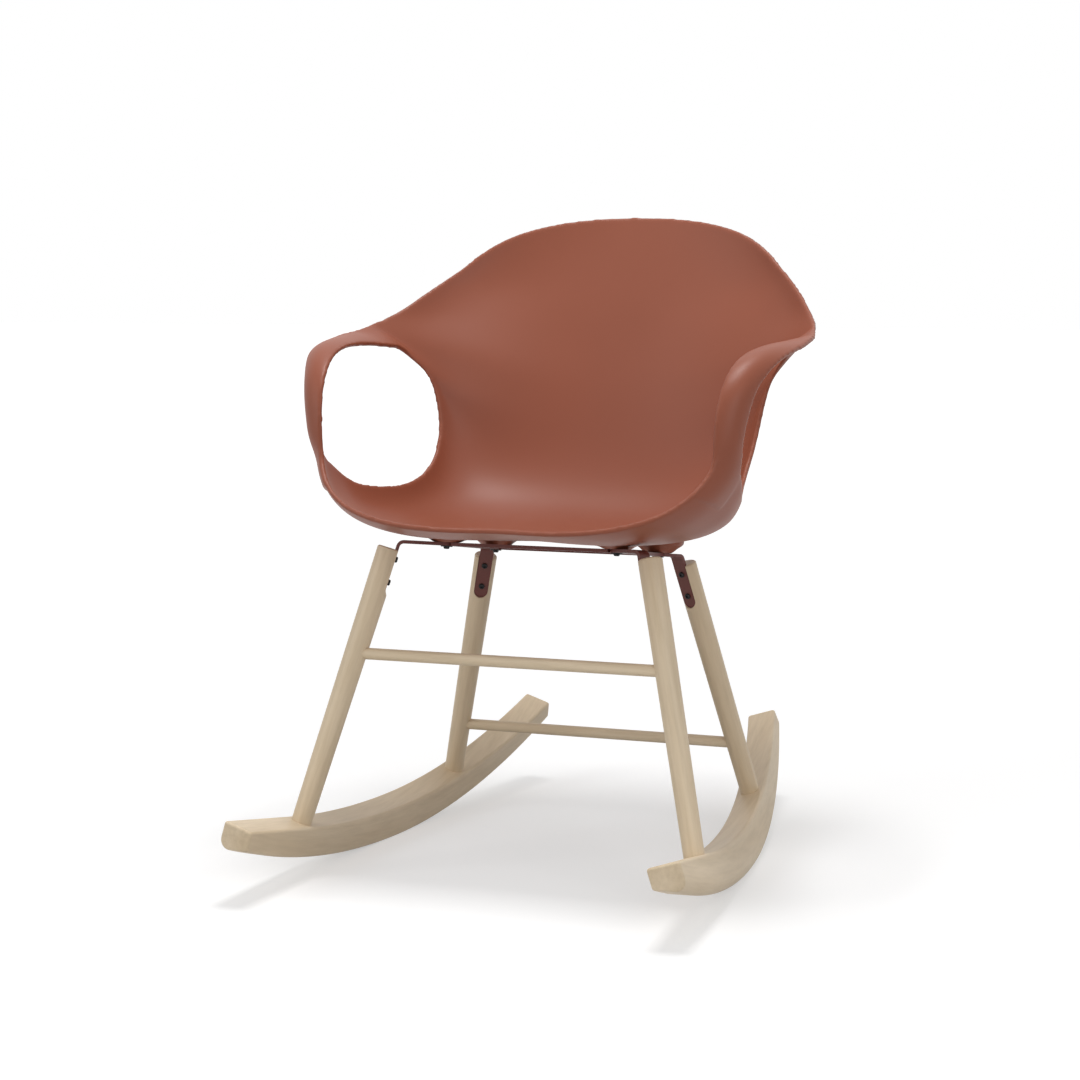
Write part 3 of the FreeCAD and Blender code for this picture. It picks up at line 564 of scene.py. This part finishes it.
paint = painted_steel()
black = fastener_metal("black_steel", BLACK_TONES, metallic=0.6, roughness=0.42)
brass = fastener_metal("brass_insert", BRASS_TONES, metallic=1.0, roughness=0.35)
for name in nodes:
    if name.startswith("frame_"):
        dress(name, paint)
    elif "screws" in name or "washers" in name:
        dress(name, black)
    elif "inserts" in name:
        dress(name, brass)

shell = make_shell()
shell.data.materials.append(moulded_plastic())
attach(shell, "root")
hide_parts("seat_shell")

# Studio: pale floor, white surroundings, two soft boxes and an overhead light

# The floor's own brightness rises to FLOOR_FAR, so that it meets the white surroundings
FLOOR_HALF = 30.0
FLOOR_FAR = 8.0
FLOOR_GREY = 0.6
FLOOR_LIFT = [(0.0, 0.42), (0.125, 0.50), (0.25, 0.61),
              (0.375, 0.70), (0.625, 0.79), (1.0, 0.84)]

# Strength of the surroundings as a light, and as what the camera and gloss see
WORLD_LIGHT = 0.38
WORLD_SEEN = 1.0

# Name, place, aim, width, height and power in watts
LAMPS = [("overhead", (0.0, 0.05, 3.0), (0, 0, 0.3), 0.8, 0.8, 42.0),
         ("right_box", (1.9, -1.7, 1.3), (0, 0, 0.5), 1.1, 1.8, 15.0),
         ("left_box", (-1.9, -1.9, 1.5), (0, 0, 0.4), 1.0, 2.6, 19.0)]


def seen_rays(tree):
    """One for rays from the camera, reflections and glass, else nought."""
    rays = tree.nodes.new("ShaderNodeLightPath")
    both = number_node(tree, "MAXIMUM", rays.outputs["Is Camera Ray"],
                       rays.outputs["Is Glossy Ray"])
    return number_node(tree, "MAXIMUM", both, rays.outputs["Is Transmission Ray"])


def make_floor():
    mesh = bpy.data.meshes.new("floor")
    mesh.from_pydata([(x * FLOOR_HALF, y * FLOOR_HALF, 0) for x, y in
                      ((-1, -1), (1, -1), (1, 1), (-1, 1))], [], [(0, 1, 2, 3)])
    floor = bpy.data.objects.new("floor", mesh)
    bpy.context.scene.collection.objects.link(floor)
    material, tree, shader = new_material("floor_white")
    shader.inputs["Base Color"].default_value = (FLOOR_GREY, FLOOR_GREY, FLOOR_GREY, 1.0)
    shader.inputs["Roughness"].default_value = 0.9
    shader.inputs["Specular IOR Level"].default_value = 0.1
    shader.inputs["Emission Color"].default_value = (1.0, 1.0, 1.0, 1.0)
    reach = tree.nodes.new("ShaderNodeVectorMath")
    reach.operation = "LENGTH"
    tree.links.new(object_coordinates(tree), reach.inputs[0])
    share = number_node(tree, "DIVIDE", reach.outputs["Value"], FLOOR_FAR)
    lift = ramp(tree, share, [(place, (level,) * 3) for place, level in FLOOR_LIFT])
    tree.links.new(number_node(tree, "MULTIPLY", seen_rays(tree), lift),
                   shader.inputs["Emission Strength"])
    mesh.materials.append(material)


def make_world():
    world = bpy.data.worlds.new("studio")
    world.use_nodes = True
    tree = world.node_tree
    background = tree.nodes["Background"]
    background.inputs["Color"].default_value = (1.0, 1.0, 1.0, 1.0)
    strength = grey_range(tree, seen_rays(tree), WORLD_LIGHT, WORLD_SEEN)
    tree.links.new(strength, background.inputs["Strength"])
    bpy.context.scene.world = world


def soft_box(name, place, target, width, height, power):
    light = bpy.data.lights.new(name, "AREA")
    light.shape = "RECTANGLE"
    light.size = width
    light.size_y = height
    light.energy = power
    item = bpy.data.objects.new(name, light)
    item.location = place
    aim = Vector(target) - Vector(place)
    item.rotation_euler = aim.to_track_quat("-Z", "Y").to_euler()
    bpy.context.scene.collection.objects.link(item)


make_floor()
make_world()
for lamp in LAMPS:
    soft_box(*lamp)

# Camera at the photo's viewing angle

CAMERA_PLACE = Vector((0.917, -2.5825, 0.6863))
CAMERA_AZIMUTH = math.radians(20.0404)
CAMERA_ELEVATION = math.radians(6.4204)
CAMERA_LENS = 76.67
CAMERA_SENSOR = 36.0
camera_data = bpy.data.cameras.new("photo_camera")
camera_data.lens = CAMERA_LENS
camera_data.sensor_width = CAMERA_SENSOR
camera = bpy.data.objects.new("photo_camera", camera_data)
camera.location = CAMERA_PLACE
camera.rotation_euler = (math.pi / 2 - CAMERA_ELEVATION, 0.0, CAMERA_AZIMUTH)
bpy.context.scene.collection.objects.link(camera)
bpy.context.scene.camera = camera
bpy.context.scene.view_settings.view_transform = "Standard"
